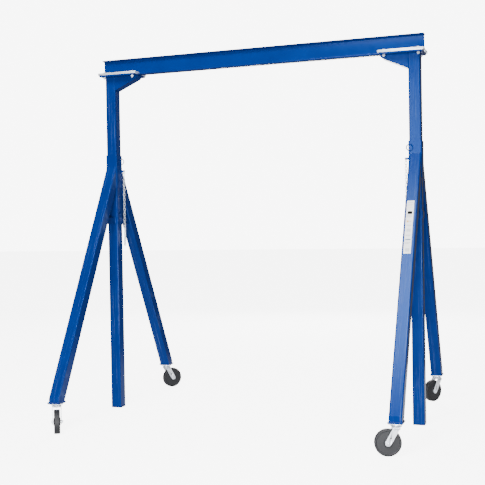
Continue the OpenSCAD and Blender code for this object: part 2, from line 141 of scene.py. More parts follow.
def shape(bm, name):
    """Turns a finished bmesh into an object, smooth except at its sharp edges."""
    bmesh.ops.remove_doubles(bm, verts=bm.verts, dist=1e-6)
    bmesh.ops.recalc_face_normals(bm, faces=bm.faces)
    mesh = bpy.data.meshes.new(name)
    bm.to_mesh(mesh)
    bm.free()
    mesh.shade_smooth()
    mesh.set_sharp_from_angle(angle=math.radians(32))
    made = bpy.data.objects.new(name, mesh)
    bpy.context.scene.collection.objects.link(made)
    return made


studio_floor, floor_shader = material("pale_studio_floor")
floor_shader.inputs["Base Color"].default_value = linear("#f2f2f1")
floor_shader.inputs["Roughness"].default_value = 0.8
floor_shader.inputs["Emission Color"].default_value = (1, 1, 1, 1)
floor_shader.inputs["Emission Strength"].default_value = 6.5
bm = bmesh.new()
bmesh.ops.create_grid(bm, x_segments=1, y_segments=1, size=60)
floor = shape(bm, "floor")
floor.data.materials.append(studio_floor)
floor.visible_diffuse = floor.visible_glossy = False

# ---------------------------------------------------------------- powder coat
# Blue powder coat on steel: sprayed dry and baked, so it is thick and glossy, with a
# faint orange peel, slightly cloudy colour, and a little pale dust where faces look up.
# Its sheen is tinted blue, as the thick coat tints what it mirrors.
# Pale blue streaks on the columns and legs are partly wear and mill marks, partly painted sheen.
PEEL = 0.006    # the real peel is about 2 mm; drawn at 6 mm to show at this distance
CLOUD = 0.22    # metres between lighter and darker areas of the coat
SPECKS = 38.0   # specks of dust in a metre, so one in about 26 mm
BLUE, DEEP_BLUE = "#002a74", "#001d5b"


def powder_coat(name, rub_and_sheen=0.0, across=(160.0, 160.0, 1.6)):
    """The coat. Its long pale streaks are partly wear and partly painted sheen; the streak amount sets how
    pale they are, and across how many there are in a metre.
    """
    made, shader = material(name)
    place = node(made, "TexCoord")
    obj = place.outputs["Object"]
    cloud = node(made, "TexNoise", [(obj, "Vector")], Scale=1 / CLOUD, Detail=3.0, Roughness=0.6)
    tone = node(made, "Mix", [(cloud.outputs["Fac"], 0)], data_type="RGBA")
    tone.inputs[6].default_value, tone.inputs[7].default_value = linear(DEEP_BLUE), linear(BLUE)
    facing = node(made, "NewGeometry")
    lift = node(made, "SeparateXYZ", [(facing.outputs["Normal"], 0)])
    dusty = node(made, "MapRange", [(lift.outputs["Z"], "Value")])
    dusty.inputs["From Min"].default_value, dusty.inputs["From Max"].default_value = 0.6, 1.0
    dusty.inputs["To Max"].default_value = 0.16
    specks = node(made, "TexNoise", [(obj, "Vector")], Scale=SPECKS, Detail=5.0)
    dust = node(made, "Math", [(dusty.outputs[0], 0), (specks.outputs["Fac"], 1)], operation="MULTIPLY")
    coat = node(made, "Mix", [(dust.outputs[0], 0), (tone.outputs[2], 6)], data_type="RGBA")
    coat.inputs[7].default_value = linear("#b9bcc0")
    colour = coat.outputs[2]
    if rub_and_sheen:
        # Wear and painted sheen in one: pale streaks a few millimetres apart, and far longer along the tube.
        stretch = node(made, "Mapping", [(obj, "Vector")], Scale=across)
        streak = node(made, "TexNoise", [(stretch.outputs[0], "Vector")], Scale=1.0, Detail=4.0,
                      Roughness=0.7)
        pale_streak_and_sheen = node(made, "MapRange", [(streak.outputs["Fac"], "Value")])
        pale_streak_and_sheen.inputs["From Min"].default_value, pale_streak_and_sheen.inputs["From Max"].default_value = 0.58, 0.76
        pale_streak_and_sheen.inputs["To Max"].default_value = rub_and_sheen
        sheen_streaked = node(made, "Mix", [(pale_streak_and_sheen.outputs[0], 0), (colour, 6)], data_type="RGBA")
        # The pale streak colour is partly a painted sheen of the lights.
        sheen_streaked.inputs[7].default_value = linear("#7f93bb")
        colour = sheen_streaked.outputs[2]
    made.node_tree.links.new(colour, shader.inputs["Base Color"])
    gloss = node(made, "MapRange", [(cloud.outputs["Fac"], "Value")])
    gloss.inputs["To Min"].default_value, gloss.inputs["To Max"].default_value = 0.20, 0.30
    made.node_tree.links.new(gloss.outputs[0], shader.inputs["Roughness"])
    peel = node(made, "TexNoise", [(obj, "Vector")], Scale=1 / PEEL, Detail=2.0)
    node(made, "Bump", [(peel.outputs["Fac"], "Height"), ("Normal", shader.inputs["Normal"])],
         Strength=0.12, Distance=0.0006)
    shader.inputs["Specular IOR Level"].default_value = 0.26
    shader.inputs["Specular Tint"].default_value = linear("#86b0ff")
    return made


blue = powder_coat("blue_powder_coat")
# Coats with pale streaks that are partly wear and mill marks and partly painted sheen.
blue_rubbed_with_sheen = powder_coat("blue_powder_coat_rubbed_and_sheen", rub_and_sheen=0.45)
blue_streaked_with_sheen = powder_coat("blue_powder_coat_streaked_and_sheen", rub_and_sheen=0.4, across=(170.0, 1.5, 1.5))

# ---------------------------------------------------------------- beam
# A rolled steel I-beam with sloping flanges, sawn to length and powder-coated. Its web
# runs into the flanges in round fillets, and the flange tips are rounded by the rolls.
FLANGE_TIP, FLANGE_ROOT, WEB = 0.0058, 0.0124, 0.0059
FILLET, TIP_ROUND, EDGE_ROUND = 0.006, 0.002, 0.001
low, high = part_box("beam")
half_flange = high.y


def finish(obj, made, body, slot, *nodes):
    """Gives a piece its material and body, and hides the CAD nodes it stands for."""
    if made:
        obj.data.materials.append(made)
    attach(obj, body)
    if nodes:
        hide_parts(*nodes)
    return obj


def outline(bm, points):
    """A flat face through the given points."""
    return bm.faces.new([bm.verts.new(p) for p in points])


def push(bm, face, along):
    """Extrudes a face into a closed solid along a vector, and returns its new vertices."""
    grown = bmesh.ops.extrude_face_region(bm, geom=[face], use_keep_orig=True)
    moved = [g for g in grown["geom"] if isinstance(g, bmesh.types.BMVert)]
    bmesh.ops.translate(bm, verts=moved, vec=along)
    bmesh.ops.recalc_face_normals(bm, faces=bm.faces)
    return moved


def round_edges(bm, edges, width, segments=2):
    """Rounds edges over a width; one segment makes a chamfer."""
    bmesh.ops.bevel(bm, geom=edges, offset=width, offset_type="OFFSET", affect="EDGES",
                    segments=segments, profile=0.5, material=-1, clamp_overlap=True)


quarter = [(half_flange, 0), (half_flange, FLANGE_TIP), (WEB / 2, FLANGE_ROOT)]
tall = high.z - low.z
edge = quarter + [(y, tall - z) for y, z in reversed(quarter)]
edge += [(-y, z) for y, z in reversed(edge)]
bm = bmesh.new()
section = outline(bm, [(low.x, y, low.z + z) for y, z in edge])
push(bm, section, (high.x - low.x, 0, 0))
runs = [e for e in bm.edges if abs(e.verts[0].co.x - e.verts[1].co.x) > 1]
roots = [e for e in runs if abs(e.verts[0].co.y) < WEB]
tips = [e for e in runs if e not in roots
        and FLANGE_TIP / 2 < e.verts[0].co.z - low.z < tall - FLANGE_TIP / 2]
corners = [e for e in runs if e not in roots and e not in tips]
round_edges(bm, roots, FILLET, 5)
round_edges(bm, [e for e in tips if e.is_valid], TIP_ROUND, 3)
round_edges(bm, [e for e in corners if e.is_valid], EDGE_ROUND, 2)
finish(shape(bm, "rolled_beam"), blue, "top", "blue_powder_coat", "beam")

# ---------------------------------------------------------------- tubes and plates
# Square steel tubes, cut plates and folded gussets, welded up and coated in one colour.
# The columns carry pale streaks of wear from sliding in their sleeves, and the legs faint streaks
# of the tube mill along their length; in both, the pale blue is partly a painted sheen.
SIDES = ("left", "right")
ROWS = ("front", "rear")

coats = {f"column_{side}": blue_rubbed_with_sheen for side in SIDES}
coats |= {f"leg_{side}_{row}": blue_streaked_with_sheen for side in SIDES for row in ROWS}
coats |= {f"{name}_{side}": blue for side in SIDES
          for name in ("seat_plate", "gusset", "sleeve", "guide_collar", "tie_bars", "foot_plates")}
for name, coat in coats.items():
    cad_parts[name].data.materials.clear()
    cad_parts[name].data.materials.append(coat)

# ---------------------------------------------------------------- welds
# The frames and the beam seats are welded by hand and coated over, so each seam shows
# as a rippled bead of the same blue in the corner between two pieces.
BEAD = 0.0032     # radius of a bead
FINE_BEAD, HEAVY_BEAD = 0.002, 0.005     # on the thin chain tab, and on the round ring
RIPPLE = 0.008    # length of one ripple; a real one is about 3 mm, drawn longer to show
LEG_SLOPE = math.radians(28.55)
COLUMN, SLEEVE = 0.1016, 0.1143
SWELL = 1.22      # how much a bead swells from its narrow rings to its wide ones
CORNER = 0.008    # a seam stops this far short of a tube's rounded corner
TOE_INSET = 0.024     # from the leg's sloping back face to the seam across its toe
TAB_Y, TAB_HALF, TAB_TOP, TAB_FOOT = 0.045, 0.0025, 2.279, 2.259     # the chain's tab
RING_BAR, RING_SEAM = 0.0045, 0.010


def weld(bm, start, end, radius=BEAD):
    """A rippled bead along a straight seam."""
    start, end = Vector(start), Vector(end)
    run = end - start
    steps = max(4, 2 * round(run.length / RIPPLE))
    turn = run.to_track_quat("Z", "Y").to_matrix().to_4x4()
    ring = bmesh.ops.create_circle(bm, cap_ends=False, segments=8, radius=radius,
                                   matrix=Matrix.Translation(start) @ turn)["verts"]
    rim = list({e for v in ring for e in v.link_edges})
    first = ring
    for k in range(steps):
        grown = bmesh.ops.extrude_edge_only(bm, edges=rim)["geom"]
        ring = [g for g in grown if isinstance(g, bmesh.types.BMVert)]
        rim = [g for g in grown if isinstance(g, bmesh.types.BMEdge) and all(v in ring for v in g.verts)]
        bmesh.ops.translate(bm, verts=ring, vec=run / steps)
        middle = start + run * (k + 1) / steps
        swell = SWELL if k % 2 == 0 else 1 / SWELL
        bmesh.ops.scale(bm, verts=ring, vec=(swell, swell, swell), space=Matrix.Translation(-middle))
    for loop in (first, ring):
        bmesh.ops.contextual_create(bm, geom=loop)


def mirrored_about(bm, centre):
    """Copies what is in the bmesh to the other row of the frame."""
    kept = bm.verts[:] + bm.edges[:] + bm.faces[:]
    copied = bmesh.ops.duplicate(bm, geom=kept)["geom"]
    verts = [g for g in copied if isinstance(g, bmesh.types.BMVert)]
    bmesh.ops.scale(bm, verts=verts, vec=(1, -1, 1), space=Matrix.Translation(-Vector(centre)))


for side, turn in (("left", -1), ("right", 1)):
    sleeve_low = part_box(f"sleeve_{side}")[0]
    leg_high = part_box(f"leg_{side}_rear")[1]
    plate_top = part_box(f"foot_plates_{side}")[1].z
    collar_low, collar_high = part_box(f"guide_collar_{side}")
    tie_low, tie_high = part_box(f"tie_bars_{side}")
    x = (collar_low.x + collar_high.x) / 2
    half = COLUMN / 2
    face = SLEEVE / 2
    bm = bmesh.new()
    # A leg's head on the sleeve: two upright seams and one across the top.
    for edge_x in (x - half, x + half):
        weld(bm, (edge_x, face, sleeve_low.z + CORNER / 2), (edge_x, face, leg_high.z - CORNER))
    weld(bm, (x - half + CORNER, face, leg_high.z), (x + half - CORNER, face, leg_high.z))
    # A tie bar on the collar, and on the leg's inner face.
    bar = (tie_high.x - tie_low.x) / 2
    slant = (tie_high.z - tie_low.z) * math.tan(LEG_SLOPE)
    for edge_x in (x - bar, x + bar):
        weld(bm, (edge_x, face, tie_low.z), (edge_x, face, tie_high.z))
        weld(bm, (edge_x, tie_high.y, tie_low.z), (edge_x, tie_high.y - slant, tie_high.z))
    for z in (tie_low.z, tie_high.z):
        weld(bm, (x - bar, face, z), (x + bar, face, z))
    weld(bm, (x - bar, tie_high.y - slant, tie_high.z), (x + bar, tie_high.y - slant, tie_high.z))
    weld(bm, (x - bar, tie_high.y, tie_low.z), (x + bar, tie_high.y, tie_low.z))
    # A leg's toe on the foot plate, all the way round.
    toe_back = leg_high.y - COLUMN / math.cos(LEG_SLOPE) + TOE_INSET
    for edge_x in (x - half, x + half):
        weld(bm, (edge_x, toe_back, plate_top), (edge_x, leg_high.y, plate_top))
    for y in (toe_back, leg_high.y):
        weld(bm, (x - half, y, plate_top), (x + half, y, plate_top))
    mirrored_about(bm, (x, 0, 0))
    # The chain's tab on the sleeve's inner face, and the lifting ring on its side face.
    inner = x - turn * face
    tab_y = -turn * TAB_Y
    for y in (tab_y - TAB_HALF, tab_y + TAB_HALF):
        weld(bm, (inner, y, TAB_FOOT), (inner, y, TAB_TOP), FINE_BEAD)
    ring_low, ring_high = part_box(f"lifting_ring_{side}")
    ring_x = (ring_low.x + ring_high.x) / 2
    outer_y = -turn * (face + 0.001)
    for z in (ring_low.z + RING_BAR, ring_high.z - RING_BAR):
        weld(bm, (ring_x - RING_SEAM, outer_y, z), (ring_x + RING_SEAM, outer_y, z), HEAVY_BEAD)
    finish(shape(bm, f"frame_welds_{side}"), blue, f"{side}_frame", "blue_powder_coat")

    # The column's head and the gusset under the seat plate.
    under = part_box(f"seat_plate_{side}")[0].z
    gusset_low, gusset_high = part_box(f"gusset_{side}")
    bm = bmesh.new()
    for y in (-half, half):
        weld(bm, (x - half + CORNER, y, under), (x + half - CORNER, y, under))
        weld(bm, (gusset_low.x, y, under), (gusset_high.x, y, under))
        side_y = y * 0.93     # just inside the gusset's folded edge
        weld(bm, (x - turn * half, side_y, gusset_low.z), (x - turn * half, side_y, under - CORNER / 2))
    weld(bm, (x + turn * half, -half + CORNER, under), (x + turn * half, half - CORNER, under))
    finish(shape(bm, f"seat_welds_{side}"), blue, "top", "blue_powder_coat")

# ---------------------------------------------------------------- clamp bars
# Stepped bars of mild steel that grip the beam's lower flange: the heel stands on the
# seat plate and the toe lies on the flange. Machined, then zinc-plated, so they are
# bright and slightly blue, with a fine mottle from the plating bath.
BATH = 24.0       # patches of mottle in a metre, so one in about 42 mm
GRAIN = (30.0, 900.0, 900.0)     # machining marks in a metre: about 33 mm long and 1 mm apart


def zinc_plate(name, colour, shade, rough):
    """Zinc plating, partly metallic because its passivated skin scatters much of the light."""
    made, shader = material(name)
    obj = node(made, "TexCoord").outputs["Object"]
    bath = node(made, "TexNoise", [(obj, "Vector")], Scale=BATH, Detail=6.0, Roughness=0.65)
    tone = node(made, "Mix", [(bath.outputs["Fac"], 0), (2, shader.inputs["Base Color"])], data_type="RGBA")
    tone.inputs[6].default_value, tone.inputs[7].default_value = linear(shade), linear(colour)
    dull = node(made, "MapRange", [(bath.outputs["Fac"], "Value"), (0, shader.inputs["Roughness"])])
    dull.inputs["To Min"].default_value, dull.inputs["To Max"].default_value = rough - 0.08, rough + 0.1
    scratch = node(made, "Mapping", [(obj, "Vector")], Scale=GRAIN)
    grain = node(made, "TexNoise", [(scratch.outputs[0], "Vector")], Scale=1.0, Detail=2.0)
    node(made, "Bump", [(grain.outputs["Fac"], "Height"), ("Normal", shader.inputs["Normal"])],
         Strength=0.1, Distance=0.0004)
    shader.inputs["Metallic"].default_value = 0.5
    return made


zinc = zinc_plate("zinc_plated_steel", "#f4f8ff", "#dde5f0", 0.34)
FLANGE_SLOPE = (FLANGE_ROOT - FLANGE_TIP) / (half_flange - WEB / 2)
LAP = 0.020       # how far the bar reaches over the flange
STEP_GAP = 0.001  # from the flange's edge to the step in the bar
BAR_ROUND = 0.0012

for side in SIDES:
    for row, sign in (("front", -1), ("rear", 1)):
        low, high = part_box(f"clamp_bar_{side}_{row}")
        outer = max(abs(low.y), abs(high.y))
        toe = half_flange - LAP
        bm = bmesh.new()
        step = outline(bm, [(low.x, sign * y, z) for y, z in (
            (outer, low.z), (outer, high.z), (toe, high.z), (toe, low.z + FLANGE_TIP + LAP * FLANGE_SLOPE),
            (half_flange + STEP_GAP, low.z + FLANGE_TIP), (half_flange + STEP_GAP, low.z))])
        push(bm, step, (high.x - low.x, 0, 0))
        round_edges(bm, bm.edges[:], BAR_ROUND)
        name = f"clamp_bar_{side}_{row}"
        finish(shape(bm, f"stepped_{name}"), zinc, "top", "zinc_plate", name)

# ---------------------------------------------------------------- hexagon bolts
# Forged steel bolts with hexagon heads, and hexagon nuts, all chamfered at both faces and
# zinc-plated. The clamp bolts hang through the bars and seat plates; the caster bolts come
# down through the foot plates.


CHAMFER = 0.09    # of a hexagon's width across flats


def hexagon(bm, place, across, height):
    """A hexagon head or nut that stands on the place's XY plane, chamfered at its ends."""
    reach = across / 2 / math.cos(math.pi / 6)
    made = bmesh.ops.create_cone(bm, cap_ends=True, segments=6, radius1=reach, radius2=reach, depth=height,
                                 matrix=place @ Matrix.Translation((0, 0, height / 2)))["verts"]
    inverse = place.inverted()
    ends = [e for e in {e for v in made for e in v.link_edges}
            if abs((inverse @ e.verts[0].co).z - (inverse @ e.verts[1].co).z) < 1e-6]
    round_edges(bm, ends, CHAMFER * across, 1)


def rod(bm, place, radius, length, chamfer=0.0, segments=24):
    """A round bar from the place's origin along its Z axis, with a chamfered far end."""
    made = bmesh.ops.create_cone(bm, cap_ends=True, segments=segments, radius1=radius, radius2=radius,
                                 depth=length, matrix=place @ Matrix.Translation((0, 0, length / 2)))["verts"]
    if chamfer:
        inverse = place.inverted()
        far = [e for e in {e for v in made for e in v.link_edges}
               if all((inverse @ v.co).z > length - 1e-6 for v in e.verts)]
        round_edges(bm, far, chamfer, 2)


def at(x, y, z, about_z=0.0):
    """A place, turned about its Z axis."""
    return Matrix.Translation((x, y, z)) @ Matrix.Rotation(about_z, 4, "Z")


down = Matrix.Rotation(math.pi, 4, "X")
low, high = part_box("clamp_bolts")
nut_low, nut_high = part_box("clamp_nuts")
bar_low, bar_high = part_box("clamp_bar_right_front")
BOLT_PITCH, BOLT_Y, BOLT_HEX, BOLT = 0.292, 0.080, 0.024, 0.0159
seat_middle = (bar_low.x + bar_high.x) / 2
heads, nuts = bmesh.new(), bmesh.new()
TURN = 0.37       # radians from one bolt's hexagon to the next, so that no two stop alike
turned = 0
for seat_x in (-seat_middle, seat_middle):
    for bolt_x in (seat_x - BOLT_PITCH / 2, seat_x + BOLT_PITCH / 2):
        for bolt_y in (-BOLT_Y, BOLT_Y):
            turned += TURN
            hexagon(heads, at(bolt_x, bolt_y, bar_high.z, turned), BOLT_HEX, high.z - bar_high.z)
            rod(heads, at(bolt_x, bolt_y, bar_high.z) @ down, BOLT / 2, bar_high.z - low.z, 0.0015)
            hexagon(nuts, at(bolt_x, bolt_y, nut_low.z, turned * 1.7), BOLT_HEX, nut_high.z - nut_low.z)
finish(shape(heads, "clamp_bolts_hex"), zinc, "top", "zinc_plate", "clamp_bolts")
finish(shape(nuts, "clamp_nuts_hex"), zinc, "top", "zinc_plate", "clamp_nuts")

PLATE_BOLT, PLATE_HEX, PLATE_PITCH = 0.0095, 0.014, 0.050
for side in SIDES:
    low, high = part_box(f"caster_bolts_{side}")
    nut_low, nut_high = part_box(f"caster_nuts_{side}")
    plate_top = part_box(f"foot_plates_{side}")[1].z
    reach = PLATE_HEX / 2 / math.cos(math.pi / 6)
    heads, nuts = bmesh.new(), bmesh.new()
    for bolt_x in (low.x + reach, high.x - reach):
        for y_end in (-1, 1):
            outer_y = high.y - PLATE_HEX / 2
            inner_y = outer_y - PLATE_PITCH
            for bolt_y in (y_end * outer_y, y_end * inner_y):
                hexagon(heads, at(bolt_x, bolt_y, plate_top), PLATE_HEX, high.z - plate_top)
                rod(heads, at(bolt_x, bolt_y, plate_top) @ down, PLATE_BOLT / 2, plate_top - low.z, 0.001)
                hexagon(nuts, at(bolt_x, bolt_y, nut_low.z), PLATE_HEX, nut_high.z - nut_low.z)
    finish(shape(heads, f"caster_bolts_hex_{side}"), zinc, f"{side}_frame", "zinc_plate",
           f"caster_bolts_{side}")
    finish(shape(nuts, f"caster_nuts_hex_{side}"), zinc, f"{side}_frame", "zinc_plate",
           f"caster_nuts_{side}")

# ---------------------------------------------------------------- lifting rings
# Round steel bar bent into a ring. It is welded flat against the sleeve's side face and
# coated in blue with the frame.
for side in SIDES:
    name = f"lifting_ring_{side}"
    low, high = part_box(name)
    bar = (high.y - low.y) / 2
    centre = (low + high) / 2
    bm = bmesh.new()
    bmesh.ops.create_circle(bm, segments=14, radius=bar, matrix=at(high.x - bar, centre.y, centre.z))
    bmesh.ops.spin(bm, geom=bm.verts[:] + bm.edges[:], cent=centre, axis=(0, 1, 0), angle=math.tau,
                   steps=48, use_merge=True)
    finish(shape(bm, f"bent_{name}"), blue, f"{side}_frame", "blue_powder_coat", name)

# ---------------------------------------------------------------- chains
# Welded link chain of zinc-plated wire, 22 links. It hangs from a tab on the sleeve and
# keeps the hitch pin with the frame. Each link is turned a quarter from the last.
WIRE, LINKS = 0.005, 22
LINK_BEND = 0.009     # centre-line radius of a link's ends
LINK_STRAIGHT = 0.011
LINK_STEP = 0.0237    # from one link to the next
galvanised = zinc_plate("zinc_plated_chain", "#e3e6ea", "#aeb4bd", 0.38)


def link(bm, top, about_z):
    """One closed link whose upper bend is centred at the given point."""
    old = set(bm.verts)
    bmesh.ops.create_circle(bm, segments=10, radius=WIRE / 2, matrix=Matrix.Translation((0, LINK_BEND, 0)))
    ring = [v for v in bm.verts if v not in old]
    rim = list({e for v in ring for e in v.link_edges})
    for bend in (1, -1):
        cent = (0, 0, 0 if bend == 1 else -LINK_STRAIGHT)
        turned = bmesh.ops.spin(bm, geom=rim, cent=cent, axis=(1, 0, 0), angle=math.pi, steps=9)["geom_last"]
        rim = [g for g in turned if isinstance(g, bmesh.types.BMEdge)]
        grown = bmesh.ops.extrude_edge_only(bm, edges=rim)["geom"]
        moved = [g for g in grown if isinstance(g, bmesh.types.BMVert)]
        bmesh.ops.translate(bm, verts=moved, vec=(0, 0, -bend * LINK_STRAIGHT))
        rim = [g for g in grown if isinstance(g, bmesh.types.BMEdge) and all(v in moved for v in g.verts)]
    new = [v for v in bm.verts if v not in old]
    bmesh.ops.transform(bm, verts=new, matrix=Matrix.Translation(top) @ Matrix.Rotation(about_z, 4, "Z"))


for side, turn in (("left", -1), ("right", 1)):
    low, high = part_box(f"chain_{side}")
    top = Vector(((low.x + high.x) / 2, (low.y + high.y) / 2, high.z - LINK_BEND - WIRE / 2))
    bm = bmesh.new()
    for k in range(LINKS):
        link(bm, top - Vector((0, 0, k * LINK_STEP)), math.pi / 2 * (k % 2))
    name = f"chain_{side}"
    finish(shape(bm, f"linked_{name}"), galvanised, f"hanging_{name}", "zinc_plate", name)

# ---------------------------------------------------------------- hitch pins
# A turned steel pin with a collar, a tapered nose and a welded eye, zinc-plated. It
# hangs from the last link until it is pushed through the sleeve and the column.
PIN, PIN_LIP, PIN_COLLAR, PIN_NOSE = 0.0103, 0.0123, 0.006, 0.006
PIN_EYE, PIN_EYE_WIRE, PIN_NECK, PIN_EDGE = 0.012, 0.006, 0.008, 0.0008
for side in SIDES:
    name = f"hitch_pin_{side}"
    low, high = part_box(name)
    x, y = (low.x + high.x) / 2, (low.y + high.y) / 2
    eye_z = high.z - PIN_EYE - PIN_EYE_WIRE / 2
    bm = bmesh.new()
    collar_z = eye_z - PIN_EYE - PIN_NECK
    collar_top = collar_z + PIN_COLLAR
    profile = [(0, low.z), (PIN - 0.0048, low.z), (PIN - 0.004, low.z + 0.0006),
               (PIN - 0.0004, low.z + PIN_NOSE), (PIN, low.z + PIN_NOSE + 0.002), (PIN, collar_z),
               (PIN_LIP - PIN_EDGE, collar_z), (PIN_LIP, collar_z + PIN_EDGE),
               (PIN_LIP, collar_top - PIN_EDGE), (PIN_LIP - PIN_EDGE, collar_top), (0, collar_top)]
    points = [bm.verts.new((x + r, y, z)) for r, z in profile]
    edges = [bm.edges.new(pair) for pair in zip(points, points[1:])]
    bmesh.ops.spin(bm, geom=points + edges, cent=(x, y, 0), axis=(0, 0, 1), angle=math.tau,
                   steps=32, use_merge=True)
    eye = bmesh.new()
    bmesh.ops.create_circle(eye, segments=12, radius=PIN_EYE_WIRE / 2,
                            matrix=Matrix.Translation((x, y + PIN_EYE, eye_z)))
    bmesh.ops.spin(eye, geom=eye.verts[:] + eye.edges[:], cent=(x, y, eye_z), axis=(1, 0, 0), angle=math.tau,
                   steps=32, use_merge=True)
    loop = bpy.data.meshes.new("eye")
    eye.to_mesh(loop)
    eye.free()
    bm.from_mesh(loop)
    bpy.data.meshes.remove(loop)
    finish(shape(bm, f"turned_{name}"), zinc, f"hanging_pin_{side}", "zinc_plate", name)

# ---------------------------------------------------------------- label
# A printed white vinyl label stuck to the right front leg. Its printing is only plain
# bars and blocks: a black one near the top, then grey, amber and dark rules below.
low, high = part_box("decal")
slope_down = Vector((0, -math.sin(LEG_SLOPE), -math.cos(LEG_SLOPE)))
THICK = 0.0006
length = (high.z - low.z - THICK * math.sin(LEG_SLOPE)) / math.cos(LEG_SLOPE)
top_edge = Vector((low.x, high.y - THICK * math.cos(LEG_SLOPE), high.z))
width = high.x - low.x
PRINT = [    # start and end down the label, left and right across it in mm, ink
    (14, 22, 8, 51, "pale"), (36, 40, 8, 51, "pale"), (46, 49, 8, 44, "pale"), (62, 65, 8, 51, "pale"),
    (99, 127, 11, 48, "black"), (133, 136, 8, 51, "grey"), (140, 143, 8, 49, "grey"),
    (147, 150, 8, 51, "grey"), (154, 157, 8, 40, "grey"), (186, 202, 8, 24, "amber"),
    (190, 193, 28, 51, "grey"), (196, 199, 28, 45, "grey"), (226, 229, 8, 51, "grey"),
    (233, 236, 8, 47, "grey"), (262, 290, 12, 47, "pale"), (318, 321, 8, 51, "grey"),
    (325, 328, 8, 43, "grey"), (356, 366, 8, 51, "dark"), (384, 387, 8, 51, "grey"),
    (391, 394, 8, 49, "grey"), (398, 401, 8, 36, "grey"), (440, 470, 12, 47, "pale"),
]
INKS = {"grey": "#a4a9b1", "black": "#020203", "amber": "#e6b877", "dark": "#60718f", "pale": "#d3d7dd"}
SOIL = 30.0     # smudges in a metre, so one in about 33 mm
bm = bmesh.new()
across = Vector((width, 0, 0))
outline(bm, [top_edge, top_edge + across, top_edge + across + slope_down * length,
             top_edge + slope_down * length])
for bar in PRINT:
    for cut in bar[:2]:
        bmesh.ops.bisect_plane(bm, geom=bm.verts[:] + bm.edges[:] + bm.faces[:], dist=1e-7,
                               plane_co=top_edge + slope_down * cut / 1000, plane_no=slope_down)
for cut in sorted({c for bar in PRINT for c in bar[2:4]}):
    bmesh.ops.bisect_plane(bm, geom=bm.verts[:] + bm.edges[:] + bm.faces[:], dist=1e-7,
                           plane_co=top_edge + Vector((cut / 1000, 0, 0)), plane_no=(1, 0, 0))
inks = list(INKS)
for f in bm.faces:
    centre = f.calc_center_median() - top_edge
    down_mm, across_mm = centre.dot(slope_down) * 1000, centre.x * 1000
    for start, end, left, right, ink in PRINT:
        if start < down_mm < end and left < across_mm < right:
            f.material_index = 1 + inks.index(ink)
bmesh.ops.solidify(bm, geom=bm.faces[:], thickness=THICK)
label = shape(bm, "printed_label")


def vinyl(name, colour, rough, shine=0.3):
    """Printed vinyl, a little soiled; the inks are matt, so they have hardly any shine."""
    made, shader = material(name)
    obj = node(made, "TexCoord").outputs["Object"]
    soil = node(made, "TexNoise", [(obj, "Vector")], Scale=SOIL, Detail=4.0)
    tone = node(made, "Mix", [(soil.outputs["Fac"], 0), (2, shader.inputs["Base Color"])], data_type="RGBA")
    fresh = linear(colour)
    tone.inputs[6].default_value = (*[c * 0.93 for c in fresh[:3]], 1)
    tone.inputs[7].default_value = fresh
    shader.inputs["Roughness"].default_value = rough
    shader.inputs["Specular IOR Level"].default_value = shine
    return made


label.data.materials.append(vinyl("white_vinyl", "#f4f5f6", 0.3))
for ink, colour in INKS.items():
    label.data.materials.append(vinyl(f"printed_{ink}_ink", colour, 0.7, 0.05))
finish(label, None, "right_frame", "white_vinyl", "decal")

# ---------------------------------------------------------------- caster top plates
# A pressed top plate with four bolt holes, the upper half of the ball race, and a
# riveted kingpin that carries the fork. Zinc-plated, with rounded plate corners.
CORNERS = [(side, row) for side in SIDES for row in ROWS]
HEADING = dict(zip(CORNERS, (-58, 50, -164, -125)))
FOOT_Y = 1.110
PLATE_X, PLATE_Y, PLATE_THICK, PLATE_CORNER = 0.1016, 0.1143, 0.0065, 0.008
RACE, RACE_FOOT = 0.029, 0.006     # radius of the ball circle, and the pressed ring outside it
KINGPIN, KINGPIN_LIP, KINGPIN_HEAD = 0.008, 0.004, 0.0057
column_x = sum(corner.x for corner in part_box("column_right")) / 2
top_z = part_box("caster_plate_right_front")[1].z
ball_z = top_z - 0.020        # centres of the balls
crown_top = ball_z - 0.002    # the fork's race
crown_low = crown_top - 0.013
RACE_INNER, RACE_LIP = 0.020, 0.0045


def lathe(bm, place, profile, steps=48):
    """Spins a profile of (radius, height) about the place's Z axis."""
    points = [bm.verts.new((r, 0, z)) for r, z in profile]
    edges = [bm.edges.new(pair) for pair in zip(points, points[1:])]
    old = set(bm.verts) - set(points)
    bmesh.ops.spin(bm, geom=points + edges, cent=(0, 0, 0), axis=(0, 0, 1), angle=math.tau, steps=steps,
                   use_merge=True)
    bmesh.ops.transform(bm, verts=[v for v in bm.verts if v not in old], matrix=place)


def foot(side, row):
    """Where a caster's swivel axis meets the floor."""
    return ((-1 if side == "left" else 1) * column_x, (-1 if row == "front" else 1) * FOOT_Y)


